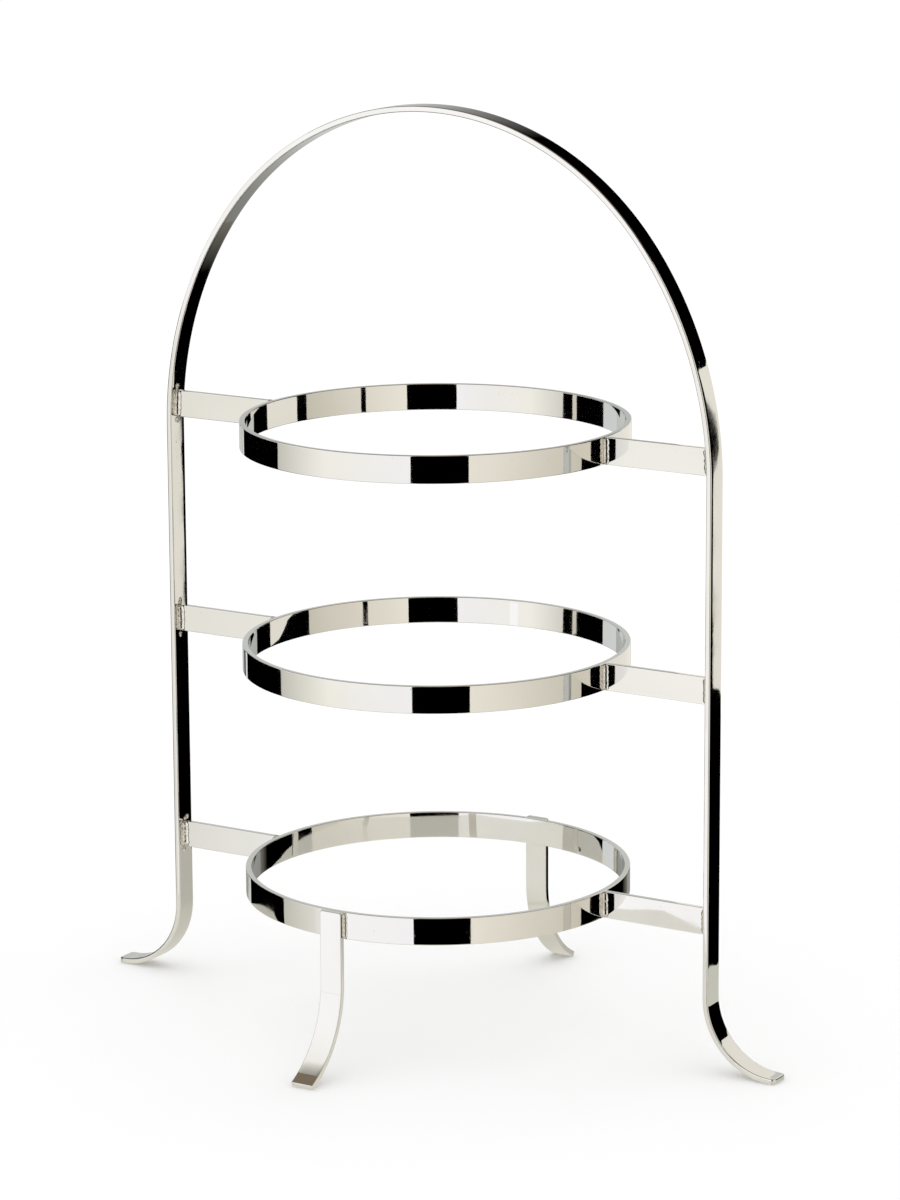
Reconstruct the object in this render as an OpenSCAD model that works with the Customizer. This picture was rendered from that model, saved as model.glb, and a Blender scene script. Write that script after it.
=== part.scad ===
// Three-tier plate stand of bright nickel-plated flat bar.
//
// One flat bar is bent into an arch that stands on two flared feet. Three hoops of
// strip hang between its uprights on straight arms, and two bent legs under the
// bottom hoop carry the weight in front and behind. Every joint is brazed, and the
// braze metal of each joint is a solid of its own.
//
// Millimetres. +Z is up, the arch spans X, and the origin is on the ground under
// the centre of the hoops.

/* [Arch frame] */
// Width across the two uprights, outside to outside
frame_w = 326; // [300:1:340]
// Overall height of the stand
frame_h = 480; // [470:1:540]
// Outer radius of the crown, the top arc of the arch
crown_r = 156; // [150:1:165]
// Width of the flat bar, front to back
bar_w = 12.5; // [9:0.5:16]
// Thickness of the flat bar
bar_t = 3; // [2.4:0.1:4]
// Bend radius on the underside of each frame foot
foot_r = 39; // [30:1:50]
// Flat length at the tip of each frame foot
foot_flat = 2.5; // [2:0.5:8]
// Corner radius of each frame foot, seen from above
foot_corner_r = 2.5; // [1:0.5:3.5]

/* [Rings] */
// Outside diameter of the three rings
ring_d = 200; // [160:1:220]
// Height of the strip that the rings and arms are made of
strip_h = 14; // [10:0.5:16]
// Thickness of the ring and arm strip
strip_t = 3; // [2.4:0.1:4]
// Underside of the bottom ring above the ground
bottom_ring_z = 71; // [64:0.5:100]
// Underside of the middle ring above the ground
middle_ring_z = 190.5; // [150:0.5:240]
// Underside of the top ring above the ground
top_ring_z = 306.5; // [290:0.5:320]

/* [Legs] */
// Width of the flat bar of the front and back legs
leg_w = 12.5; // [9:0.5:16]
// Thickness of the leg bar
leg_t = 3; // [2.4:0.1:4]
// Bend radius on the underside of each leg
leg_bend_r = 53; // [40:1:60]
// Angle through which each leg turns outward before its tip
leg_turn = 64; // [50:1:75]
// Depth worn flat under each leg tip, where it meets the ground
leg_land = 0.3; // [0.1:0.1:0.5]
// Corner radius at the top of each leg
leg_corner_r = 1; // [0.5:0.1:2]

/* [Finish and joints] */
// Radius polished onto every long edge of the bars
edge_r = 0.4; // [0.2:0.1:0.8]
// Thickness of the braze film between two joined faces
braze_gap = 0.15; // [0.1:0.05:0.3]
// Radius of the braze fillets beside the arms
arm_fillet_r = 2.4; // [1.5:0.1:3]
// Radius of the braze fillets beside the legs
leg_fillet_r = 1.8; // [1:0.1:2]

/* [Hidden] */
$fn = 96;
// Straight steps that follow a large arc over the short width of a joint
JOINT_STEPS = 16;
// Thickness at which a braze fillet ends on a face, since it can't end at nothing
FEATHER = 0.05;

LEFT = -1;
RIGHT = 1;
FRONT = -90;
BACK = 90;
NICKEL = [0.82, 0.81, 0.78];
BRAZE = [0.72, 0.68, 0.60];

half_w = frame_w / 2;
ring_r = ring_d / 2;
crown_z = frame_h - crown_r;
// Two shoulder arcs join the crown to the uprights without a kink. The radius that
// they share with the crown where they meet it runs 4 across and 3 up.
shoulder_r = (half_w - 0.8 * crown_r) / (1 - 0.8);
shoulder_x = half_w - shoulder_r;
shoulder_z = crown_z - 0.6 * (shoulder_r - crown_r);
foot_centre_x = half_w - bar_t + foot_r;
foot_tip_x = foot_centre_x + foot_flat;
// The legs stand off the ring by the braze film
leg_x = ring_r + braze_gap;
leg_centre_z = leg_bend_r * sin(leg_turn) - leg_land;
leg_top_z = bottom_ring_z + strip_h;
cut_size = 4 * foot_r;

// Inner face of an upright at height z, counted from the middle of the stand
function inner_face_x(z) =
    z <= shoulder_z
        ? half_w - bar_t
        : shoulder_x + sqrt(pow(shoulder_r - bar_t, 2) - pow(z - shoulder_z, 2));

// ---- Shapes that repeat ----

// Cross-section of a bar: t along X, w along Y, with polished edges
module bar_section(t, w) {
    square([t - 2 * edge_r, w], center = true);
    square([t, w - 2 * edge_r], center = true);
    for (x = [-1, 1], y = [-1, 1])
        translate([x * (t / 2 - edge_r), y * (w / 2 - edge_r)])
            circle(r = edge_r, $fn = 24);
}

// Straight upright length of bar
module bar_upright(t, w, length) {
    linear_extrude(length)
        bar_section(t, w);
}

// Bar bent round the origin in the X-Z plane, from one angle and through another
module bar_bend(t, w, outer_r, from, through) {
    rotate([90, 0, 0])
        rotate([0, 0, from])
            rotate_extrude(angle = through)
                translate([outer_r - t / 2, 0])
                    bar_section(t, w);
}

// Outline in the X-Z plane, thick enough to take in a bar's whole width
module slab(points) {
    rotate([90, 0, 0])
        linear_extrude(2 * bar_w, center = true)
            polygon(points);
}

// What has to go to round an upright corner edge of radius r that points along +X +Y
module corner_waste(r, length) {
    difference() {
        translate([0, 0, -length / 2])
            cube([2 * r, 2 * r, length]);
        cylinder(r = r, h = 2 * length, center = true);
    }
}

// Copies its children to the left as well as the right
module both_sides() {
    children();
    mirror([1, 0, 0])
        children();
}

// Puts a shape drawn on the right on the given side
module on_side(side) {
    mirror([side == LEFT ? 1 : 0, 0, 0])
        children();
}

// Everything on the right that lies inside the arch over the height of the strip at z,
// drawn back from the upright's inner face by gap
module inside_arch(z, gap) {
    face = [
        for (i = [0 : JOINT_STEPS])
            let (h = z + strip_h * i / JOINT_STEPS)
                [inner_face_x(h) - gap, h]
    ];
    slab(concat([[0, z]], face, [[0, z + strip_h]]));
}

// ---- Arch frame ----

module frame_foot() {
    difference() {
        union() {
            translate([foot_centre_x, 0, foot_r])
                bar_bend(bar_t, bar_w, foot_r, 180, 90);
            translate([foot_centre_x, 0, bar_t / 2])
                rotate([0, 90, 0])
                    bar_upright(bar_t, bar_w, foot_flat);
        }
        for (side = [0, 1])
            mirror([0, side, 0])
                translate([foot_tip_x - foot_corner_r, bar_w / 2 - foot_corner_r, 0])
                    corner_waste(foot_corner_r, cut_size);
    }
}

module crown() {
    translate([0, 0, crown_z])
        intersection() {
            bar_bend(bar_t, bar_w, crown_r, 0, 180);
            slab(crown_r * [[0, 0], [4, 3], [0, 4], [-4, 3]]);
        }
}

module shoulder() {
    translate([shoulder_x, 0, shoulder_z])
        intersection() {
            bar_bend(bar_t, bar_w, shoulder_r, 0, 90);
            slab(shoulder_r * [[0, 0], [4, 0], [4, 3]]);
        }
}

module arch_frame() {
    color(NICKEL)
        union() {
            crown();
            both_sides() {
                shoulder();
                translate([half_w - bar_t / 2, 0, foot_r])
                    bar_upright(bar_t, bar_w, shoulder_z - foot_r);
                frame_foot();
            }
        }
}

// ---- Rings ----

// Hoop of strip on edge, standing on the plane z = 0
module ring() {
    color(NICKEL)
        rotate_extrude()
            translate([ring_r - strip_t / 2, strip_h / 2])
                bar_section(strip_t, strip_h);
}

module ring_top() {
    translate([0, 0, top_ring_z])
        ring();
}

module ring_middle() {
    translate([0, 0, middle_ring_z])
        ring();
}

module ring_bottom() {
    translate([0, 0, bottom_ring_z])
        ring();
}

// ---- Arms ----

// Straight arm from a ring to an upright, with its underside at height z
module arm(side, z) {
    color(NICKEL)
        on_side(side)
            intersection() {
                translate([ring_r + braze_gap, 0, z + strip_h / 2])
                    rotate([0, 90, 0])
                        linear_extrude(half_w - ring_r)
                            bar_section(strip_h, strip_t);
                inside_arch(z, braze_gap);
            }
}

module arm_top_left() {
    arm(LEFT, top_ring_z);
}

module arm_top_right() {
    arm(RIGHT, top_ring_z);
}

module arm_middle_left() {
    arm(LEFT, middle_ring_z);
}

module arm_middle_right() {
    arm(RIGHT, middle_ring_z);
}

module arm_bottom_left() {
    arm(LEFT, bottom_ring_z);
}

module arm_bottom_right() {
    arm(RIGHT, bottom_ring_z);
}

// ---- Legs ----

// Leg on the ring's +X side, bent outward to a tip that rests on the ground
module leg(heading) {
    color(NICKEL)
        rotate([0, 0, heading])
            difference() {
                union() {
                    translate([leg_x + leg_t / 2, 0, leg_centre_z])
                        bar_upright(leg_t, leg_w, leg_top_z - leg_centre_z);
                    translate([leg_x + leg_bend_r, 0, leg_centre_z])
                        bar_bend(leg_t, leg_w, leg_bend_r, 180, leg_turn);
                }
                for (side = [0, 1])
                    mirror([0, side, 0])
                        translate([leg_x, leg_w / 2 - leg_corner_r, leg_top_z - leg_corner_r])
                            rotate([0, -90, 0])
                                corner_waste(leg_corner_r, cut_size);
                translate([0, 0, -cut_size / 2])
                    cube([3 * ring_r, 2 * leg_w, cut_size], center = true);
            }
}

module leg_front() {
    leg(FRONT);
}

module leg_back() {
    leg(BACK);
}

// ---- Braze ----

// Plan of the braze between a ring's outside and a bar of half-width half_t that
// stands on it along +X: the film under the bar, and a hollow fillet on each side
module ring_braze_plan(half_t, fillet_r) {
    reach_r = ring_r + fillet_r + FEATHER;
    centre_y = half_t + fillet_r + FEATHER;
    centre_x = sqrt(pow(reach_r, 2) - pow(centre_y, 2));
    spread = asin(centre_y / reach_r);
    on_ring = [
        for (i = [0 : JOINT_STEPS])
            let (a = spread * (2 * i / JOINT_STEPS - 1))
                ring_r * [cos(a), sin(a)]
    ];
    round_bar = [
        [centre_x, centre_y], [centre_x, half_t], [ring_r + braze_gap, half_t],
        [ring_r + braze_gap, -half_t], [centre_x, -half_t], [centre_x, -centre_y]
    ];
    difference() {
        polygon(concat(on_ring, round_bar));
        for (side = [-1, 1])
            translate([centre_x, side * centre_y])
                circle(r = fillet_r);
    }
}

// Plan of the braze between an arm and an upright whose face is at x = face_x, drawn
// through the arm and into the upright
module frame_braze_plan(face_x) {
    offset_r = arm_fillet_r + FEATHER;
    centre_y = strip_t / 2 + offset_r;
    difference() {
        translate([face_x - offset_r, -centre_y])
            square([offset_r + bar_t / 2, 2 * centre_y]);
        for (side = [-1, 1])
            translate([face_x - offset_r, side * centre_y])
                circle(r = arm_fillet_r);
    }
}

// Raises a plan over the flat part of a strip whose underside is at height z
module over_strip(z) {
    translate([0, 0, z + edge_r])
        linear_extrude(strip_h - 2 * edge_r)
            children();
}

module ring_braze(side, z) {
    color(BRAZE)
        on_side(side)
            over_strip(z)
                ring_braze_plan(strip_t / 2, arm_fillet_r);
}

module frame_braze(side, z) {
    color(BRAZE)
        on_side(side)
            difference() {
                intersection() {
                    over_strip(z)
                        frame_braze_plan(inner_face_x(z + strip_h / 2));
                    inside_arch(z, 0);
                }
                arm(RIGHT, z);
            }
}

module leg_braze(heading) {
    color(BRAZE)
        rotate([0, 0, heading])
            over_strip(bottom_ring_z)
                ring_braze_plan(leg_w / 2, leg_fillet_r);
}

module braze_top_left_frame() {
    frame_braze(LEFT, top_ring_z);
}

module braze_top_left_ring() {
    ring_braze(LEFT, top_ring_z);
}

module braze_top_right_frame() {
    frame_braze(RIGHT, top_ring_z);
}

module braze_top_right_ring() {
    ring_braze(RIGHT, top_ring_z);
}

module braze_middle_left_frame() {
    frame_braze(LEFT, middle_ring_z);
}

module braze_middle_left_ring() {
    ring_braze(LEFT, middle_ring_z);
}

module braze_middle_right_frame() {
    frame_braze(RIGHT, middle_ring_z);
}

module braze_middle_right_ring() {
    ring_braze(RIGHT, middle_ring_z);
}

module braze_bottom_left_frame() {
    frame_braze(LEFT, bottom_ring_z);
}

module braze_bottom_left_ring() {
    ring_braze(LEFT, bottom_ring_z);
}

module braze_bottom_right_frame() {
    frame_braze(RIGHT, bottom_ring_z);
}

module braze_bottom_right_ring() {
    ring_braze(RIGHT, bottom_ring_z);
}

module braze_leg_front() {
    leg_braze(FRONT);
}

module braze_leg_back() {
    leg_braze(BACK);
}

arch_frame();
ring_top();
ring_middle();
ring_bottom();
arm_top_left();
arm_top_right();
arm_middle_left();
arm_middle_right();
arm_bottom_left();
arm_bottom_right();
leg_front();
leg_back();
braze_top_left_frame();
braze_top_left_ring();
braze_top_right_frame();
braze_top_right_ring();
braze_middle_left_frame();
braze_middle_left_ring();
braze_middle_right_frame();
braze_middle_right_ring();
braze_bottom_left_frame();
braze_bottom_left_ring();
braze_bottom_right_frame();
braze_bottom_right_ring();
braze_leg_front();
braze_leg_back();
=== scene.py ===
"""Looks of the three-tier plate stand: polished nickel bar and brazed joints in a pale studio.

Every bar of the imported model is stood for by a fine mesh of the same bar, so that its mirror
finish has true curves to reflect in. Metres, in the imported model's frame.
"""

import math

import bmesh
import bpy
import numpy as np
from mathutils import Matrix, Vector, noise


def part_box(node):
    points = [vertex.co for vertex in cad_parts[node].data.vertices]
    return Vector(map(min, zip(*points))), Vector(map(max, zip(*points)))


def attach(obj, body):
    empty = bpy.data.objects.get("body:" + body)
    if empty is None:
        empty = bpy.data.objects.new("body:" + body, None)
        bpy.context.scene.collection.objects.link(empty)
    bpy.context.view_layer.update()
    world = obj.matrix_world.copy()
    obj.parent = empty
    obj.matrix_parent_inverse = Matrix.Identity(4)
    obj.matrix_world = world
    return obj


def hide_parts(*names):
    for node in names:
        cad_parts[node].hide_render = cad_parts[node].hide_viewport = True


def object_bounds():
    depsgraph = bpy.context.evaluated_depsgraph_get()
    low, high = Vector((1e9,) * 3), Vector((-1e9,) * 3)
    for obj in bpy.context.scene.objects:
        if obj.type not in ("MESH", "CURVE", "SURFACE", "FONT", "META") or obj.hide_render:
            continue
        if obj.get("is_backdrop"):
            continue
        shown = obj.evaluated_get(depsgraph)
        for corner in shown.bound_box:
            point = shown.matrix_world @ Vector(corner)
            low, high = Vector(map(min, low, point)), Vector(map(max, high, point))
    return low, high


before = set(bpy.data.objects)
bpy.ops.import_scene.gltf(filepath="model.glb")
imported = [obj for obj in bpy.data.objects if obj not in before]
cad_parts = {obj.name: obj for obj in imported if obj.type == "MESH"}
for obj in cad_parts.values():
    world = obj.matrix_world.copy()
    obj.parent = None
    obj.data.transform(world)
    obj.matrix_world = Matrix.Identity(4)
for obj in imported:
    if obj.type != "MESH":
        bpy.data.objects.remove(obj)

CAD_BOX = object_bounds()
MM = 0.001
X_AXIS, Y_AXIS, Z_AXIS = np.eye(3)

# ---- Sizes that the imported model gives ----

FRAME_LOW, FRAME_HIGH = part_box("arch_frame")
RING_LOW, RING_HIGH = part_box("ring_top")
LEG_LOW, LEG_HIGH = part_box("leg_front")

FRAME_H = FRAME_HIGH.z
FOOT_TIP_X = FRAME_HIGH.x
BAR_W = FRAME_HIGH.y - FRAME_LOW.y
RING_R = RING_HIGH.x
STRIP_H = RING_HIGH.z - RING_LOW.z
LEG_W = LEG_HIGH.x - LEG_LOW.x
LEG_TOP_Z = LEG_HIGH.z

# ---- Sizes of the bends and the stock, which a box can't give ----

HALF_W = 163 * MM  # from the middle to the outside of an upright
CROWN_R = 156 * MM
FOOT_R = 39 * MM
FOOT_CORNER_R = 2.5 * MM
BAR_T = 3 * MM
STRIP_T = 3 * MM
LEG_T = 3 * MM
LEG_BEND_R = 53 * MM
LEG_TURN = 64  # degrees
LEG_LAND = 0.3 * MM  # how far the tip is worn away where it stands on the ground
LEG_CORNER_R = 1 * MM
EDGE_R = 0.4 * MM
BAR_EDGE_R = 0.7 * MM  # the arch bar is polished rounder than the strip
BRAZE_GAP = 0.15 * MM  # between a bar and the face that it is brazed to
ARM_FILLET_R = 3.0 * MM
FRAME_FILLET_R = 3.2 * MM
LEG_FILLET_R = 1.8 * MM
HEAT_REACH = 9 * MM  # how far from a joint the torch has coloured the metal

# The crown and a shoulder meet on a radius that they share, which runs 4 across and 3 up
MEETING_ACROSS = 4 / 5
MEETING_UP = 3 / 5
SHOULDER_TURN = math.degrees(math.atan2(MEETING_UP, MEETING_ACROSS))
SHOULDER_R = (HALF_W - MEETING_ACROSS * CROWN_R) / (1 - MEETING_ACROSS)
SHOULDER_X = HALF_W - SHOULDER_R
SHOULDER_Z = FRAME_H - CROWN_R - MEETING_UP * (SHOULDER_R - CROWN_R)
FOOT_FLAT = FOOT_TIP_X - (HALF_W - BAR_T + FOOT_R)
LEG_CENTRE_Z = LEG_BEND_R * math.sin(math.radians(LEG_TURN)) - LEG_LAND

TIERS = ("top", "middle", "bottom")
SIDES = {"left": -1, "right": 1}

# ---- Fineness of the meshes ----

ROW_STEP = 2 * MM  # along a bar
RING_ROWS = 360
CORNER_STEPS = 4  # round one edge
BROAD_STEPS = 6  # across a bar's broad face
NARROW_STEPS = 2
TIP_STEPS = 6
SHARPEST = 0.02  # share of an edge's rounding that is left at the very end of a bar
POLISH_DEPTH = 0.03 * MM  # how deep hand polishing dips the faces
POLISH_LENGTH = 16 * MM  # from one dip to the next


# ---- Bars ----


def toward(degrees):
    """Direction in a plane, from its first axis toward its second."""
    a = math.radians(degrees)
    return np.array([math.cos(a), math.sin(a)])


class Route:
    """Centreline of a bar in an upright plane, drawn as straight and round stretches.
    Headings are in degrees, 0 along the plane's level axis and 90 upward."""

    def __init__(self, start, heading):
        self.stretches = []
        self.length = 0.0
        self.point = np.array(start, float)
        self.heading = heading

    def _add(self, length, turn):
        self.stretches.append((self.length, self.point, self.heading, length, turn))
        self.point, self.heading = self._along(self.stretches[-1], length)
        self.length += length
        return self

    def straight(self, length):
        return self._add(length, 0.0)

    def bend(self, radius, turn):
        """A bend to the left through turn degrees, or to the right if turn is negative."""
        return self._add(radius * math.radians(abs(turn)), turn)

    @staticmethod
    def _along(stretch, distance):
        _, point, heading, length, turn = stretch
        turned = turn * distance / length
        half = math.radians(turned) / 2
        chord = distance * (math.sin(half) / half if half else 1.0)
        return point + chord * toward(heading + turned / 2), heading + turned

    def at(self, distance):
        """Point at a distance from the start, and the direction to the right of the travel."""
        stretch = [s for s in self.stretches if s[0] <= distance][-1]
        point, heading = self._along(stretch, distance - stretch[0])
        return point, toward(heading - 90)


def outline(half_thickness, half_width, radius):
    """Section of a bar with rounded edges, as points and outward directions, thickness first."""
    corners = [(1, -1, -90), (1, 1, 0), (-1, 1, 90), (-1, -1, 180)]
    face_steps = [BROAD_STEPS, NARROW_STEPS, BROAD_STEPS, NARROW_STEPS]
    flat = np.array([half_thickness - radius, half_width - radius])
    points, facings = [], []
    for i, (x, y, first) in enumerate(corners):
        centre = flat * (x, y)
        for k in range(CORNER_STEPS + 1):
            facing = toward(first + 90 * k / CORNER_STEPS)
            points.append(centre + radius * facing)
            facings.append(facing)
        x, y, face = corners[(i + 1) % 4]
        facing = toward(face)
        start = points[-1]
        end = flat * (x, y) + radius * facing
        for k in range(1, face_steps[i]):
            points.append(start + (end - start) * k / face_steps[i])
            facings.append(facing)
    return np.array(points), np.array(facings)


def dips(points, facings):
    """Points moved inward a little, here more and there less, as uneven hand polishing does."""
    flat, away = points.reshape(-1, 3), facings.reshape(-1, 3)
    wave = np.array([noise.noise(Vector(p / POLISH_LENGTH)) for p in flat])
    depth = POLISH_DEPTH * (0.5 + 0.5 * wave.clip(-1, 1))
    return (flat - away * depth[:, None]).reshape(points.shape)


def rounded_in(radius, distance):
    """How far a rounded corner or edge draws in at a distance from the end."""
    left = max(radius - distance, 0.0)
    return radius - math.sqrt(max(radius**2 - left**2, 0.0))


def end_distances(radius):
    """Distances from an end that follow a rounding of that radius."""
    return [radius * (1 - math.cos(math.pi / 2 * k / TIP_STEPS)) for k in range(TIP_STEPS + 1)]


def bar_along(route, level, across, thickness, width, edge_r, start_corner, end_corner):
    """Rows of points round a bar that follows a route, its ends rounded in plan and at the edge."""
    near = end_distances(edge_r) + end_distances(start_corner)
    far = [route.length - d for d in end_distances(edge_r) + end_distances(end_corner)]
    count = round(route.length / ROW_STEP)
    plain = [route.length * k / count for k in range(count + 1)]
    first, last = max(edge_r, start_corner), route.length - max(edge_r, end_corner)
    plain = [d for d in plain if first + ROW_STEP / 2 < d < last - ROW_STEP / 2]
    # Rounded, so that stops that fall together become one
    stops = sorted({round(d, 8) for d in near + far + plain})
    rows, facings, grain = [], [], []
    for d in stops:
        to_end = route.length - d
        edge_in = rounded_in(edge_r, d) + rounded_in(edge_r, to_end)
        plan_in = rounded_in(start_corner, d) + rounded_in(end_corner, to_end)
        section, facing = outline(
            thickness / 2 - edge_in,
            width / 2 - max(edge_in, plan_in),
            max(edge_r - edge_in, SHARPEST * edge_r),
        )
        point, out = route.at(min(d, route.length))
        middle = point[0] * level + point[1] * Z_AXIS
        outward = out[0] * level + out[1] * Z_AXIS
        rows.append(middle + section[:, :1] * outward + section[:, 1:] * across)
        facings.append(facing[:, :1] * outward + facing[:, 1:] * across)
        grain.append(grain_of(d, section))
    return np.array(rows), np.array(facings), np.array(grain)


def grain_of(along, section):
    """Place on a bar for its polishing marks: how far along it, and where in its section."""
    return np.column_stack([np.full(len(section), along), section])


def mesh_piece(name, rows, grain=None, looped=False):
    """Closed mesh through rows of points, capped at both ends unless it is looped."""
    m, n = rows.shape[:2]
    faces = [
        (i * n + j, i * n + (j + 1) % n, (i + 1) % m * n + (j + 1) % n, (i + 1) % m * n + j)
        for i in range(m if looped else m - 1)
        for j in range(n)
    ]
    if not looped:
        faces += [tuple(range(n)), tuple((m - 1) * n + j for j in reversed(range(n)))]
    mesh = bpy.data.meshes.new(name)
    mesh.from_pydata(rows.reshape(-1, 3).tolist(), [], faces)
    shape = bmesh.new()
    shape.from_mesh(mesh)
    bmesh.ops.recalc_face_normals(shape, faces=shape.faces)
    shape.to_mesh(mesh)
    shape.free()
    mesh.shade_smooth()
    store(mesh, "grain", "FLOAT_VECTOR", "vector", rows if grain is None else grain)
    store(mesh, "heat", "FLOAT", "value", nearest_joint_heat(rows.reshape(-1, 3)))
    piece = bpy.data.objects.new(name, mesh)
    bpy.context.scene.collection.objects.link(piece)
    piece.modifiers.new("flat faces stay flat", "WEIGHTED_NORMAL")
    return piece


def store(mesh, name, kind, key, values):
    """Gives the mesh an attribute with a value for each of its points."""
    attribute = mesh.attributes.new(name, kind, "POINT")
    attribute.data.foreach_set(key, np.asarray(values, np.float32).ravel())


def tier_z(tier):
    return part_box("ring_" + tier)[0].z


def inner_face_x(z):
    """Inner face of an upright at height z, counted from the middle of the stand."""
    if z <= SHOULDER_Z:
        return HALF_W - BAR_T
    return SHOULDER_X + math.sqrt((SHOULDER_R - BAR_T) ** 2 - (z - SHOULDER_Z) ** 2)


def joint_places():
    """Middle of every brazed joint."""
    places = []
    for tier in TIERS:
        z = tier_z(tier) + STRIP_H / 2
        for side in SIDES.values():
            places += [(side * RING_R, 0, z), (side * inner_face_x(z), 0, z)]
    low = tier_z("bottom") + STRIP_H / 2
    return np.array(places + [(0, -RING_R, low), (0, RING_R, low)])


JOINTS = joint_places()


def nearest_joint_heat(points):
    """1 at the middle of a brazed joint, fading to 0 away from it."""
    gaps = np.linalg.norm(points[:, None, :] - JOINTS[None], axis=2).min(axis=1)
    return np.exp(-((gaps / HEAT_REACH) ** 2))


def arch_frame():
    """The bar that makes both uprights, the crown and the two feet."""
    foot_bend_r = FOOT_R - BAR_T / 2
    route = Route((FOOT_TIP_X, BAR_T / 2), 180)
    route.straight(FOOT_FLAT).bend(foot_bend_r, -90).straight(SHOULDER_Z - FOOT_R)
    route.bend(SHOULDER_R - BAR_T / 2, SHOULDER_TURN)
    route.bend(CROWN_R - BAR_T / 2, 180 - 2 * SHOULDER_TURN)
    route.bend(SHOULDER_R - BAR_T / 2, SHOULDER_TURN)
    route.straight(SHOULDER_Z - FOOT_R).bend(foot_bend_r, -90).straight(FOOT_FLAT)
    rows, facings, grain = bar_along(
        route, X_AXIS, Y_AXIS, BAR_T, BAR_W, BAR_EDGE_R, FOOT_CORNER_R, FOOT_CORNER_R
    )
    return mesh_piece("arch_bar", dips(rows, facings), grain)


def ring(tier):
    """Hoop of strip on edge."""
    section, facing = outline(STRIP_T / 2, STRIP_H / 2, EDGE_R)
    turns = 2 * math.pi * np.arange(RING_ROWS) / RING_ROWS
    out = np.stack([np.cos(turns), np.sin(turns), 0 * turns], axis=1)[:, None, :]
    middle = (RING_R - STRIP_T / 2) * out + (tier_z(tier) + STRIP_H / 2) * Z_AXIS
    rows = middle + section[:, :1] * out + section[:, 1:] * Z_AXIS
    facings = facing[:, :1] * out + facing[:, 1:] * Z_AXIS
    grain = np.array([grain_of(turn * RING_R, section) for turn in turns])
    return mesh_piece(tier + "_hoop", dips(rows, facings), grain, looped=True)


def arm(tier, side_name):
    """Straight strip from a ring to an upright, its outer end cut to the upright's face."""
    side = SIDES[side_name]
    section, facing = outline(STRIP_T / 2, STRIP_H / 2, EDGE_R)
    heights = section[:, 1] + tier_z(tier) + STRIP_H / 2
    start = np.full(len(section), RING_R + BRAZE_GAP)
    end = np.array([inner_face_x(z) for z in heights]) - BRAZE_GAP
    count = round((HALF_W - RING_R) / ROW_STEP)
    shares = np.arange(count + 1)[:, None] / count
    x = start + (end - start) * shares
    rows = np.stack([side * x, 0 * x + section[:, 0], 0 * x + heights], axis=2)
    facings = np.broadcast_to(
        facing[None, :, :1] * Y_AXIS + facing[None, :, 1:] * Z_AXIS, rows.shape
    )
    grain = np.array([grain_of(row[0], section) for row in x])
    return mesh_piece(f"{tier}_arm_{side_name}", dips(rows, facings), grain)


def leg(name, heading):
    """Flat bar down from the bottom ring, bent outward to a tip worn flat on the ground."""
    route = Route((RING_R + BRAZE_GAP + LEG_T / 2, LEG_TOP_Z), -90)
    route.straight(LEG_TOP_Z - LEG_CENTRE_Z).bend(LEG_BEND_R - LEG_T / 2, LEG_TURN)
    a = math.radians(heading)
    level = np.array([math.cos(a), math.sin(a), 0])
    across = np.array([-math.sin(a), math.cos(a), 0])
    rows, facings, grain = bar_along(
        route, level, across, LEG_T, LEG_W, EDGE_R, LEG_CORNER_R, EDGE_R
    )
    rows = dips(rows, facings)
    rows[..., 2] = np.maximum(rows[..., 2], 0)
    return mesh_piece(name, rows, grain)


# ---- Braze ----

BRAZE_LEVELS = 28
FILLET_STEPS = 8
MENISCUS = 1.6 * MM  # height over which a fillet shrinks at its ends
FILLET_LEFT = 0.3  # share of a fillet's radius that is left at its very ends
RIPPLE = 0.15  # share by which a fillet's radius wanders
RIPPLES = 9  # over a fillet's height

# Steps between places in the noise, so that no two joints look alike
TIER_SEED = 10
ARM_SEED = 3
FRAME_JOINT_SEED = 1.5
LEG_SEED = 30
OTHER_FILLET_SEED = 5

BEAD_R = 1.2 * MM
BEAD_SIZES = (0.75, 1.25)  # least and greatest, in BEAD_R
BEAD_HEIGHTS = (0.6, 2.0)  # nearest and furthest from the strip's edge, in the bead's own radius
BEAD_DROOPS = (1.2, 2.2)  # how much longer a bead is below its middle than above it
BEAD_SPREAD = 2 * MM  # either way from the bar's middle
BEAD_SINK = 0.05 * MM  # into the bar's face
BEAD_FLATNESS = 0.6
BEAD_SLENDERNESS = 1.3  # 1 is round, and more is thinner toward both tips
BEAD_UNEVENNESS = 0.25
BEAD_SEED = 900  # steps in the noise for each metre between beads
BEAD_BUMPS = 3  # steps in the noise for each radian from tip to tip
BEAD_SIDES = 20
BEAD_LEVELS = 16


def fillet_radius(radius, share, seed):
    """Radius of a braze fillet at a share of its height: it ripples, and thins at both ends."""
    height = STRIP_H - 2 * EDGE_R
    to_end = min(share, 1 - share) * height
    fullness = 1 - rounded_in(MENISCUS, to_end) / MENISCUS
    ripple = 1 + RIPPLE * noise.noise(Vector((seed, RIPPLES * share, 0)))
    return radius * ripple * (FILLET_LEFT + (1 - FILLET_LEFT) * fullness)


def fillet(centre, radius, first, last):
    """Points on a round hollow, from one direction to another in degrees."""
    turns = np.linspace(first, last, FILLET_STEPS + 1)
    return [np.array(centre) + radius * toward(turn) for turn in turns]


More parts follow.
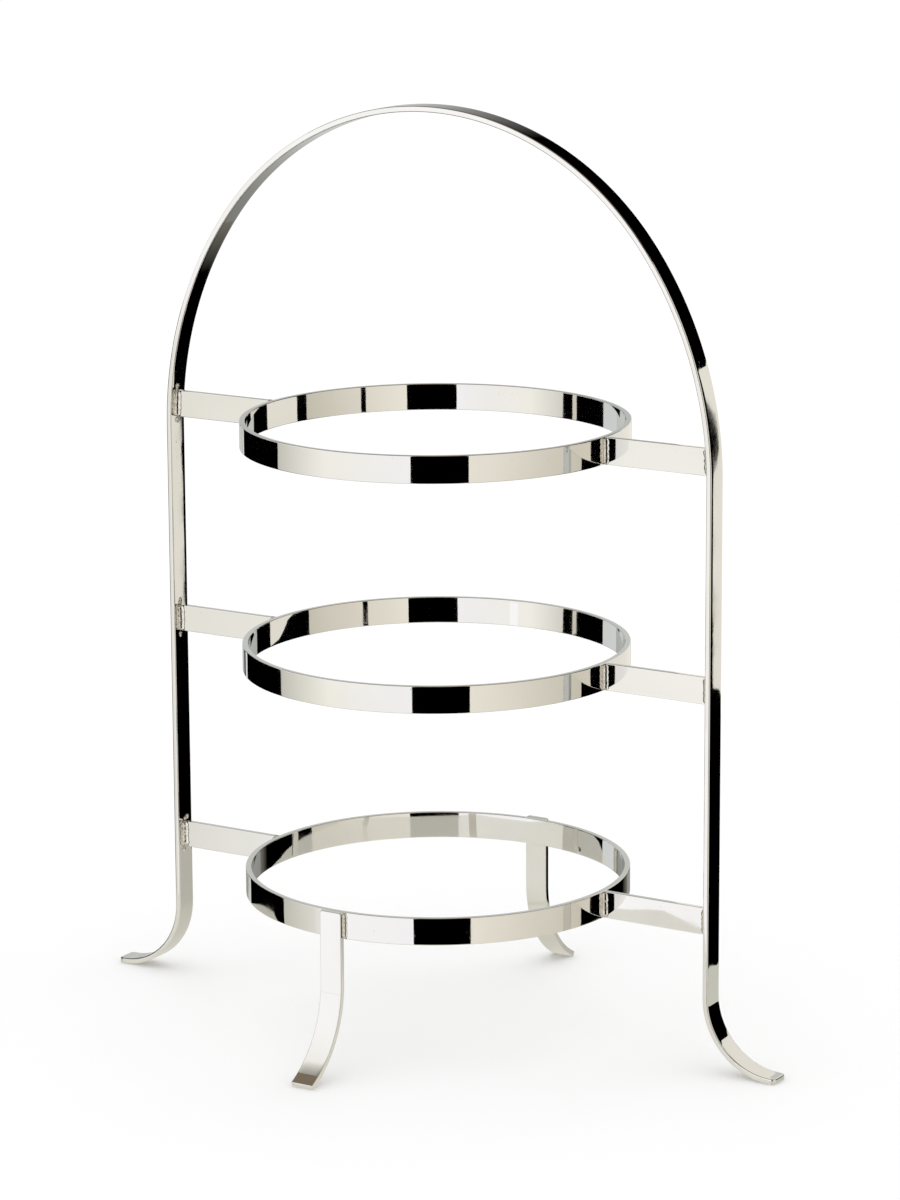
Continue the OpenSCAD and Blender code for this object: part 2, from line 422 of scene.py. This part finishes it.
def ring_braze_plan(half, near_r, far_r):
    """Plan of the metal between a ring and a bar of that half-width that stands on it along +X,
    with a hollow fillet on each side."""
    sides = []
    for sign, r in ((-1, near_r), (1, far_r)):
        reach = RING_R + r
        y = half + r
        x = math.sqrt(reach**2 - y**2)
        on_ring = math.degrees(math.asin(y / reach))
        sides.append([point * (1, sign) for point in fillet((x, y), r, 180 + on_ring, 270)])
    low, high = sides
    first, last = (math.degrees(math.atan2(side[0][1], side[0][0])) for side in sides)
    turns = np.linspace(first, last, FILLET_STEPS + 1)[1:-1]
    on_ring = [RING_R * toward(turn) for turn in turns]
    end = RING_R + BRAZE_GAP
    under = [np.array([end, half]), np.array([end, -half])]
    return low[::-1] + on_ring + high + under


def frame_braze_plan(face_x, near_r, far_r):
    """Plan of the metal between an arm and an upright whose face is at face_x."""
    half = STRIP_T / 2
    low, high = (fillet((face_x - r, half + r), r, 0, -90) for r in (near_r, far_r))
    end = face_x - BRAZE_GAP
    under = [np.array([end, -half]), np.array([end, half])]
    return [point * (1, -1) for point in low] + under + high[::-1]


def braze_piece(name, z, heading, seed, radius, plan_at):
    """Metal of one joint, over the flat part of a strip whose underside is at z. plan_at gives
    its plan at a height, from the radii of its two fillets."""
    turn = math.radians(heading)
    c, s = math.cos(turn), math.sin(turn)
    rows = []
    for k in range(BRAZE_LEVELS + 1):
        share = k / BRAZE_LEVELS
        height = z + EDGE_R + (STRIP_H - 2 * EDGE_R) * share
        near_r = fillet_radius(radius, share, seed)
        far_r = fillet_radius(radius, share, seed + OTHER_FILLET_SEED)
        plan = np.array(plan_at(height, near_r, far_r))
        heights = np.full(len(plan), height)
        rows.append(np.stack([plan @ (c, -s), plan @ (s, c), heights], axis=1))
    return mesh_piece(name, np.array(rows))


def ring_braze(name, z, half, radius, heading, seed):
    """Joint between a ring and a bar of that half-width."""

    def plan_at(_, near_r, far_r):
        return ring_braze_plan(half, near_r, far_r)

    return braze_piece(name, z, heading, seed, radius, plan_at)


def frame_braze(name, z, heading, seed):
    """Joint between an arm and an upright."""

    def plan_at(height, near_r, far_r):
        return frame_braze_plan(inner_face_x(height), near_r, far_r)

    return braze_piece(name, z, heading, seed, FRAME_FILLET_R, plan_at)


def bead(name, side, y, z, radius, droop):
    """Bead of braze that ran out of a joint and set on an upright's inner face."""
    turns = 2 * math.pi * np.arange(BEAD_SIDES) / BEAD_SIDES
    rows = []
    for k in range(1, BEAD_LEVELS):
        a = math.pi * k / BEAD_LEVELS
        height = z - math.cos(a) * radius * (droop if k < BEAD_LEVELS / 2 else 1)
        bump = noise.noise(Vector((z * BEAD_SEED, y * BEAD_SEED, BEAD_BUMPS * a)))
        girth = radius * math.sin(a) ** BEAD_SLENDERNESS * (1 + BEAD_UNEVENNESS * bump)
        proud = girth * BEAD_FLATNESS * np.cos(turns)
        x = side * (inner_face_x(height) - BEAD_SINK - proud)
        heights = np.full(BEAD_SIDES, height)
        rows.append(np.stack([x, y + girth * np.sin(turns), heights], axis=1))
    return mesh_piece(name, np.array(rows))


def between(limits, share):
    """The value that lies a share of the way from the first limit to the second."""
    low, high = limits
    return low + (high - low) * share


def joint_beads(tier, side_name, seed):
    """The two beads above an arm's outer joint, the second further up, and the one below it."""
    low = tier_z(tier)
    spots = [(low + STRIP_H, 1, 0), (low + STRIP_H, 1, BEAD_R), (low, -1, 0)]
    for k, (edge, up, further) in enumerate(spots):
        draws = [noise.cell(Vector((seed + k, j + 0.5, 0.5))) for j in range(4)]
        size, height, sideways, droop = (0.5 + 0.5 * draw for draw in draws)
        radius = BEAD_R * between(BEAD_SIZES, size)
        z = edge + up * (radius * between(BEAD_HEIGHTS, height) + further)
        y = between((-BEAD_SPREAD, BEAD_SPREAD), sideways)
        name = f"{tier}_{side_name}_bead_{k + 1}"
        yield bead(name, SIDES[side_name], y, z, radius, between(BEAD_DROOPS, droop))


# ---- Materials ----

NICKEL_PALE = (0.815, 0.80, 0.772, 1)
NICKEL_WARM = (0.785, 0.767, 0.732, 1)
HEAT_STRAW = (0.76, 0.70, 0.61, 1)
SPECK_BROWN = (0.66, 0.63, 0.58, 1)
BRAZE_PALE = (0.80, 0.78, 0.735, 1)
BRAZE_WARM = (0.62, 0.565, 0.48, 1)

CLOUD_SIZE = 45 * MM  # patches where the plate is a little warmer
SMUDGE_SIZE = 18 * MM  # wiping marks
HAIRLINE_WIDTH = 0.25 * MM  # fine scratches of the polishing mop
HAIRLINE_LENGTH = 16 * MM
ORANGE_PEEL_SIZE = 2.5 * MM  # ripples of the plated skin
ORANGE_PEEL_DEPTH = 0.0012 * MM
HAIRLINE_DEPTH = 0.00006 * MM
SPECK_SIZE = 1.1 * MM  # pinholes in the plate
BRAZE_RIPPLE_SIZE = 1.3 * MM
BRAZE_RIPPLE_DEPTH = 0.05 * MM
GRIT_SIZE = 0.35 * MM
GRIT_DEPTH = 0.006 * MM

# Levels of the noise at which each mark starts to show, and shows in full
CLOUD_LEVELS = (0.35, 0.65)
SMUDGE_LEVELS = (0.42, 0.72)
SPECK_LEVELS = (0.85, 0.90)
HAIRLINE_LEVELS = (0.6, 0.8)
HUMP_LEVELS = (0.35, 0.6)
GRIT_LEVELS = (0.4, 0.7)

# Roughness from clean to fully marked, and what other marks add to it
NICKEL_ROUGHNESS = (0.022, 0.06)
SPECK_DULLING = 0.15
HAIRLINE_DULLING = 0.05
BRAZE_ROUGHNESS = (0.10, 0.24)
GRIT_DULLING = 0.08
HEAT_TINT = (0.35, 0.75)  # strength of the straw tint on clean plate and on smudged


class Recipe:
    """A metal material under construction, and short names for the nodes that it is made of."""

    def __init__(self, name):
        self.material, self.nodes, self.links = new_material(name)
        self.shader = self.nodes["Principled BSDF"]
        self.shader.inputs["Metallic"].default_value = 1.0

    def node(self, kind, **inputs):
        """New node with sockets set to numbers or joined to other nodes' outputs."""
        node = self.nodes.new("ShaderNode" + kind)
        for name, value in inputs.items():
            self.feed(node.inputs[name.replace("_", " ")], value)
        return node

    def feed(self, socket, value):
        if isinstance(value, bpy.types.NodeSocket):
            self.links.new(value, socket)
        else:
            socket.default_value = value

    def attribute(self, name, output="Fac"):
        node = self.nodes.new("ShaderNodeAttribute")
        node.attribute_name = name
        return node.outputs[output]

    def position(self):
        return self.nodes.new("ShaderNodeTexCoord").outputs["Object"]

    def noise(self, vector, size, detail=2):
        return self.node("TexNoise", Vector=vector, Scale=1 / size, Detail=detail).outputs["Fac"]

    def stretched(self, vector, factors):
        node = self.nodes.new("ShaderNodeVectorMath")
        node.operation = "MULTIPLY"
        self.feed(node.inputs[0], vector)
        self.feed(node.inputs[1], factors)
        return node.outputs["Vector"]

    def fit(self, value, limits, new_limits=(0, 1)):
        """The value moved from the limits to the new limits, and held at both ends."""
        low, high = limits
        new_low, new_high = new_limits
        return self.node(
            "MapRange", Value=value, From_Min=low, From_Max=high, To_Min=new_low, To_Max=new_high
        ).outputs["Result"]

    def scaled(self, share, new_limits):
        """A share between 0 and 1 moved to between the new limits."""
        return self.fit(share, (0, 1), new_limits)

    def calculate(self, operation, first, second):
        node = self.nodes.new("ShaderNodeMath")
        node.operation = operation
        self.feed(node.inputs[0], first)
        self.feed(node.inputs[1], second)
        return node.outputs["Value"]

    def mix(self, share, first, second):
        """First colour where the share is 0, and second where it is 1."""
        node = self.nodes.new("ShaderNodeMix")
        node.data_type = "RGBA"
        self.feed(node.inputs["Factor"], share)
        colour_inputs = [socket for socket in node.inputs if socket.type == "RGBA"]
        self.feed(colour_inputs[0], first)
        self.feed(colour_inputs[1], second)
        return next(socket for socket in node.outputs if socket.type == "RGBA")

    def bump(self, height, depth, under=None):
        node = self.node("Bump", Height=height, Distance=depth)
        if under is not None:
            self.feed(node.inputs["Normal"], under)
        return node.outputs["Normal"]

    def finish(self, colour, roughness, normal):
        self.feed(self.shader.inputs["Base Color"], colour)
        self.feed(self.shader.inputs["Roughness"], roughness)
        self.feed(self.shader.inputs["Normal"], normal)
        return self.material


def new_material(name):
    material = bpy.data.materials.new(name)
    material.use_nodes = True
    return material, material.node_tree.nodes, material.node_tree.links


def nickel_material():
    """Polished nickel plate with hairlines along each bar, smudges, pinholes and heat tint."""
    recipe = Recipe("polished_nickel")
    point = recipe.position()
    clouds = recipe.fit(recipe.noise(point, CLOUD_SIZE), CLOUD_LEVELS)
    smudges = recipe.fit(recipe.noise(point, SMUDGE_SIZE, detail=5), SMUDGE_LEVELS)
    specks = recipe.fit(recipe.noise(point, SPECK_SIZE, detail=0), SPECK_LEVELS)
    grain = recipe.stretched(
        recipe.attribute("grain", "Vector"),
        (1 / HAIRLINE_LENGTH, 1 / HAIRLINE_WIDTH, 1 / HAIRLINE_WIDTH),
    )
    hairlines = recipe.noise(grain, 1, detail=3)
    scratched = recipe.fit(hairlines, HAIRLINE_LEVELS)
    heat = recipe.calculate(
        "MULTIPLY", recipe.attribute("heat"), recipe.scaled(smudges, HEAT_TINT)
    )
    plate = recipe.mix(clouds, NICKEL_PALE, NICKEL_WARM)
    tinted = recipe.mix(heat, plate, HEAT_STRAW)
    colour = recipe.mix(specks, tinted, SPECK_BROWN)
    smudged = recipe.scaled(smudges, NICKEL_ROUGHNESS)
    worn = recipe.calculate("ADD", smudged, recipe.scaled(specks, (0, SPECK_DULLING)))
    roughness = recipe.calculate("ADD", worn, recipe.scaled(scratched, (0, HAIRLINE_DULLING)))
    peel = recipe.noise(point, ORANGE_PEEL_SIZE, detail=1)
    skin = recipe.bump(peel, ORANGE_PEEL_DEPTH)
    normal = recipe.bump(hairlines, HAIRLINE_DEPTH, skin)
    return recipe.finish(colour, roughness, normal)


def braze_material():
    """Plated braze: rippled and finely pitted, warmer and duller in its hollows."""
    recipe = Recipe("plated_braze")
    point = recipe.position()
    ripples = recipe.noise(point, BRAZE_RIPPLE_SIZE)
    grit = recipe.noise(point, GRIT_SIZE)
    hollow = recipe.fit(ripples, HUMP_LEVELS, (1, 0))
    colour = recipe.mix(hollow, BRAZE_PALE, BRAZE_WARM)
    smooth = recipe.scaled(hollow, BRAZE_ROUGHNESS)
    pitted = recipe.fit(grit, GRIT_LEVELS, (0, GRIT_DULLING))
    roughness = recipe.calculate("ADD", smooth, pitted)
    waves = recipe.bump(ripples, BRAZE_RIPPLE_DEPTH)
    normal = recipe.bump(grit, GRIT_DEPTH, waves)
    return recipe.finish(colour, roughness, normal)


# ---- Putting the stand together ----


def fit_piece(piece, material, node=None):
    """Joins a piece to the stand's one body, in place of a CAD node if one is named."""
    piece.data.materials.append(material)
    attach(piece, "root")
    if node:
        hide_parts(node)


def build_arm(tier, side, nickel, braze):
    """An arm, the brazed joints at both its ends, and the beads at the outer one."""
    z, sign = tier_z(tier), SIDES[side]
    heading = 0 if sign > 0 else 180
    seed = TIER_SEED * TIERS.index(tier) + ARM_SEED * sign
    name = f"{tier}_{side}"
    fit_piece(arm(tier, side), nickel, f"arm_{name}")
    at_ring = ring_braze(name + "_ring_fillet", z, STRIP_T / 2, ARM_FILLET_R, heading, seed)
    at_frame = frame_braze(name + "_frame_fillet", z, heading, seed + FRAME_JOINT_SEED)
    fit_piece(at_ring, braze, f"braze_{name}_ring")
    fit_piece(at_frame, braze, f"braze_{name}_frame")
    for piece in joint_beads(tier, side, seed):
        fit_piece(piece, braze)


def build_leg(side, sign, nickel, braze):
    """A leg and the brazed joint that holds it to the bottom ring."""
    z, heading = tier_z("bottom"), 90 * sign
    name = side + "_leg"
    fit_piece(leg(name, heading), nickel, "leg_" + side)
    seed = LEG_SEED * sign
    at_ring = ring_braze(name + "_fillet", z, LEG_W / 2, LEG_FILLET_R, heading, seed)
    fit_piece(at_ring, braze, "braze_leg_" + side)


def build_stand():
    nickel, braze = nickel_material(), braze_material()
    fit_piece(arch_frame(), nickel, "arch_frame")
    for tier in TIERS:
        fit_piece(ring(tier), nickel, "ring_" + tier)
        for side in SIDES:
            build_arm(tier, side, nickel, braze)
    build_leg("front", -1, nickel, braze)
    build_leg("back", 1, nickel, braze)


# ---- Camera ----

CAMERA_AZIMUTH, CAMERA_ELEVATION, CAMERA_ROLL = 31.65, 13.0, -0.31  # degrees
CAMERA_DISTANCE = 2.367
CAMERA_LENS = 137.5
AIM = Vector((0, 13.3 * MM, 0.464 * FRAME_H))  # a little behind the middle, below half-way up


def camera():
    data = bpy.data.cameras.new("camera")
    data.lens = CAMERA_LENS
    cam = bpy.data.objects.new("camera", data)
    bpy.context.scene.collection.objects.link(cam)
    a, e = math.radians(CAMERA_AZIMUTH), math.radians(CAMERA_ELEVATION)
    back = Vector((math.sin(a) * math.cos(e), -math.cos(a) * math.cos(e), math.sin(e)))
    roll = Matrix.Rotation(math.radians(CAMERA_ROLL), 3, "Z")
    turn = back.to_track_quat("Z", "Y").to_matrix() @ roll
    cam.matrix_world = Matrix.Translation(AIM + CAMERA_DISTANCE * back) @ turn.to_4x4()
    bpy.context.scene.camera = cam


# ---- Studio ----

# Only the pale floor and the even white surround light the picture. The metal sees a studio
# of its own instead: light panels with dark gaps between them, and a small glossy table.

WHITE = 1.1
FLOOR_COLOUR = (0.94, 0.94, 0.94, 1)
FLOOR_ROUGHNESS = 0.9
TABLE_COLOUR = (0.74, 0.73, 0.655, 1)
TABLE_ROUGHNESS = 0.1
TABLE_IOR = 1.85
FLOOR_REACH = 6.0
ROOM_REACH = 5.0
PANEL_R = 1.0
PANEL_STEP = 3  # degrees, from one upright line of points to the next

COOL_WHITE = (1.10, 1.10, 1.15)
BRIGHT_WHITE = (1.16, 1.17, 1.20)
PAPER = (1.07, 1.06, 1.01)
SOFT_PAPER = (0.86, 0.85, 0.80)
DIM_PAPER = (0.50, 0.50, 0.44)
WARM_WHITE = (0.98, 0.95, 0.86)
DIM_WARM = (0.68, 0.65, 0.56)
COOL_GREY = (0.73, 0.76, 0.77)
BACK_GREY = (0.62, 0.64, 0.62)
CORNER_GREY = (0.22, 0.21, 0.185)
CARD_WARM = (0.95, 0.925, 0.85)
CARD_GREY = (0.67, 0.67, 0.61)
TAUPE = (0.22, 0.18, 0.13)
BLACK = (0, 0, 0)

# Standing round the stand: azimuths clockwise from +Y as seen from above, heights, the colours
# at both ends, and the share of them that is left at the bottom and at the top
PANELS = {
    "low_front_panel": ((162, 212), (-0.8, -0.1), (COOL_WHITE, BRIGHT_WHITE), (1, 1)),
    "low_left_panel": ((212, 224), (-0.8, -0.1), (BRIGHT_WHITE, SOFT_PAPER), (1, 1)),
    "low_far_left_panel": ((224, 262), (-0.8, -0.1), (SOFT_PAPER, DIM_PAPER), (1, 1)),
    "front_panel": ((162, 212), (-0.1, 0.2), (COOL_WHITE, PAPER), (1, 1)),
    "high_front_panel": ((162, 212), (0.2, 1.3), (COOL_WHITE, BRIGHT_WHITE), (1, 1)),
    "left_panel": ((212, 262), (-0.1, 0.2), (PAPER, DIM_PAPER), (1, 1)),
    "high_left_panel": ((212, 262), (0.2, 1.3), (BRIGHT_WHITE, WARM_WHITE), (1, 1)),
    "upper_front_panel": ((162, 212), (1.3, 1.8), (COOL_WHITE, BRIGHT_WHITE), (1, 0.35)),
    "upper_left_panel": ((212, 262), (1.3, 1.8), (BRIGHT_WHITE, WARM_WHITE), (1, 0.1)),
    "right_panel": ((58, 130), (-0.8, 1.2), (DIM_WARM, WARM_WHITE), (1, 1)),
    "far_back_panel": ((-100, -60), (-0.35, 0.98), (COOL_GREY, COOL_GREY), (1, 1)),
    "low_back_panel": ((-60, -4), (-0.35, 0.1), (BACK_GREY, BACK_GREY), (0.3, 1)),
    "low_corner_panel": ((-4, 8), (-0.35, -0.18), (CORNER_GREY, BLACK), (0.8, 1)),
    "back_panel": ((-60, -4), (0.1, 0.45), (BACK_GREY, BACK_GREY), (1, 1)),
    "high_back_panel": ((-60, -4), (0.45, 0.98), (BACK_GREY, BACK_GREY), (1, 0)),
}
# Flat and close by: two corners of the lower edge, the two of the upper edge, the colour, and
# the share of it that is left at the lower edge
CARDS = {
    "back_right_card": (
        ((0.008, 0.243, 0.122), (0.351, 0.348, 0.100)),
        ((0.008, 0.243, 0.41), (0.368, 0.354, 0.41)),
        CARD_WARM,
        0.95,
    ),
    "low_right_card": (
        ((0.225, 0.080, 0), (0.184, 0.148, 0)),
        ((0.273, 0.110, 0), (0.231, 0.178, 0)),
        CARD_GREY,
        1,
    ),
    "leg_card": (
        ((-0.174, -0.351, 0), (-0.136, -0.373, 0)),
        ((-0.174, -0.351, 0.1), (-0.136, -0.373, 0.1)),
        BRIGHT_WHITE,
        1,
    ),
    "left_flag": (
        ((-0.385, 0.113, -0.2), (-0.385, -0.20, -0.2)),
        ((-0.385, 0.113, 0.36), (-0.385, -0.20, 0.36)),
        BLACK,
        1,
    ),
}
# The table lies square to the camera, under the stand
TABLE_LEFT = 0.045  # how far left of the stand its middle is
TABLE_HALF_LENGTH = 0.265
TABLE_HALF_DEPTH = 0.205
TABLE_SQUARENESS = 2.5  # 2 is an ellipse, and more is nearer to a rectangle
CHAMFER_FACING = 217  # degrees from the table's right: its near left corner is cut straight
CHAMFER_REACH = 0.178  # from the table's middle to that cut
TABLE_STEPS = 192
CEILING_FROM = 0.7  # share of the room's height where the ceiling begins to lighten
CEILING_FULL = 0.775  # and where it has its full colour


def only_seen_in_metal(thing):
    """Keeps a studio piece out of the picture and the lighting, but in the metal's reflections."""
    thing.visible_camera = False
    thing.visible_diffuse = False
    thing.visible_shadow = False
    thing.visible_transmission = False


def stage_thing(mesh, material):
    """Stands a mesh in the studio, apart from the object."""
    mesh.materials.append(material)
    thing = bpy.data.objects.new(mesh.name, mesh)
    bpy.context.scene.collection.objects.link(thing)
    thing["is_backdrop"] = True
    return thing


def stage_mesh(name, points, faces, material):
    mesh = bpy.data.meshes.new(name)
    mesh.from_pydata(points, [], faces)
    return stage_thing(mesh, material)


def glow_material():
    """Light of the colour that each corner of a panel holds."""
    material, nodes, links = new_material("studio_glow")
    nodes.remove(nodes["Principled BSDF"])
    light = nodes.new("ShaderNodeEmission")
    colour = nodes.new("ShaderNodeAttribute")
    colour.attribute_name = "glow"
    links.new(colour.outputs["Color"], light.inputs["Color"])
    links.new(light.outputs["Emission"], nodes["Material Output"].inputs["Surface"])
    return material


def paint(mesh, colours):
    glow = mesh.color_attributes.new("glow", "FLOAT_COLOR", "POINT")
    for corner, colour in zip(glow.data, colours):
        corner.color = (*colour, 1)


def upright_panel(name, low_edge, high_edge, low_glows, high_glows, material):
    """A standing panel between two lines of points, with a colour for each point."""
    n = len(low_edge)
    faces = [(i, i + 1, n + i + 1, n + i) for i in range(n - 1)]
    thing = stage_mesh(name, [*low_edge, *high_edge], faces, material)
    paint(thing.data, [*low_glows, *high_glows])
    only_seen_in_metal(thing)


def round_panel(name, azimuths, heights, colours, shares, material):
    """An upright panel on the circle round the stand."""
    start, end = azimuths
    count = round((end - start) / PANEL_STEP)
    steps = [k / count for k in range(count + 1)]
    turns = [math.radians(between(azimuths, step)) for step in steps]
    plan = [(PANEL_R * math.sin(a), PANEL_R * math.cos(a)) for a in turns]
    first, last = colours
    glows = [Vector(first).lerp(Vector(last), step) for step in steps]
    low_edge, high_edge = ([(x, y, height) for x, y in plan] for height in heights)
    low_glows, high_glows = ([glow * share for glow in glows] for share in shares)
    upright_panel(name, low_edge, high_edge, low_glows, high_glows, material)


def studio_panels(material):
    for name, (azimuths, heights, colours, shares) in PANELS.items():
        round_panel(name, azimuths, heights, colours, shares, material)
    for name, (low_edge, high_edge, colour, low_share) in CARDS.items():
        low_glow = Vector(colour) * low_share
        upright_panel(name, low_edge, high_edge, [low_glow] * 2, [colour] * 2, material)


def room(material):
    """The dark studio beyond the panels, with a taupe ceiling."""
    mesh = bpy.data.meshes.new("room")
    shape = bmesh.new()
    bmesh.ops.create_icosphere(shape, subdivisions=5, radius=ROOM_REACH)
    shape.to_mesh(mesh)
    shape.free()
    levels = [v.co.z / ROOM_REACH for v in mesh.vertices]
    shares = [(level - CEILING_FROM) / (CEILING_FULL - CEILING_FROM) for level in levels]
    paint(mesh, [Vector(TAUPE) * min(max(share, 0), 1) for share in shares])
    only_seen_in_metal(stage_thing(mesh, material))


def table():
    """The small pale board that the metal reflects below itself, its long side to the camera."""
    material, nodes, _ = new_material("table")
    shader = nodes["Principled BSDF"]
    shader.inputs["Base Color"].default_value = TABLE_COLOUR
    shader.inputs["Roughness"].default_value = TABLE_ROUGHNESS
    shader.inputs["IOR"].default_value = TABLE_IOR
    turn = Matrix.Rotation(math.radians(CAMERA_AZIMUTH), 3, "Z")
    power = TABLE_SQUARENESS
    cut = math.radians(CHAMFER_FACING)
    chamfer = Vector((math.cos(cut), math.sin(cut), 0)) / CHAMFER_REACH
    points = []
    for k in range(TABLE_STEPS):
        a = 2 * math.pi * k / TABLE_STEPS
        c, s = math.cos(a), math.sin(a)
        reach = (abs(c) ** power + abs(s) ** power) ** (-1 / power)
        point = reach * Vector((TABLE_HALF_LENGTH * c, TABLE_HALF_DEPTH * s, 0))
        point /= max(1, point.dot(chamfer))
        points.append(turn @ (point - Vector((TABLE_LEFT, 0, 0))))
    only_seen_in_metal(stage_mesh("table", points, [tuple(range(TABLE_STEPS))], material))


def floor():
    """The plain matt floor, which the metal doesn't reflect."""
    material, nodes, _ = new_material("floor")
    shader = nodes["Principled BSDF"]
    shader.inputs["Base Color"].default_value = FLOOR_COLOUR
    shader.inputs["Roughness"].default_value = FLOOR_ROUGHNESS
    shader.inputs["Specular IOR Level"].default_value = 0.0
    r = FLOOR_REACH
    points = [(-r, -r, 0), (r, -r, 0), (r, r, 0), (-r, r, 0)]
    thing = stage_mesh("floor", points, [(0, 1, 2, 3)], material)
    thing.visible_glossy = False


def studio():
    glow = glow_material()
    floor()
    table()
    room(glow)
    studio_panels(glow)
    world = bpy.data.worlds.new("studio")
    world.use_nodes = True
    world.node_tree.nodes["Background"].inputs["Color"].default_value = (WHITE, WHITE, WHITE, 1)
    bpy.context.scene.world = world
    bpy.context.scene.view_settings.view_transform = "Standard"


camera()
build_stand()
studio()

[[list(corner) for corner in box] for box in (CAD_BOX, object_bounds())]
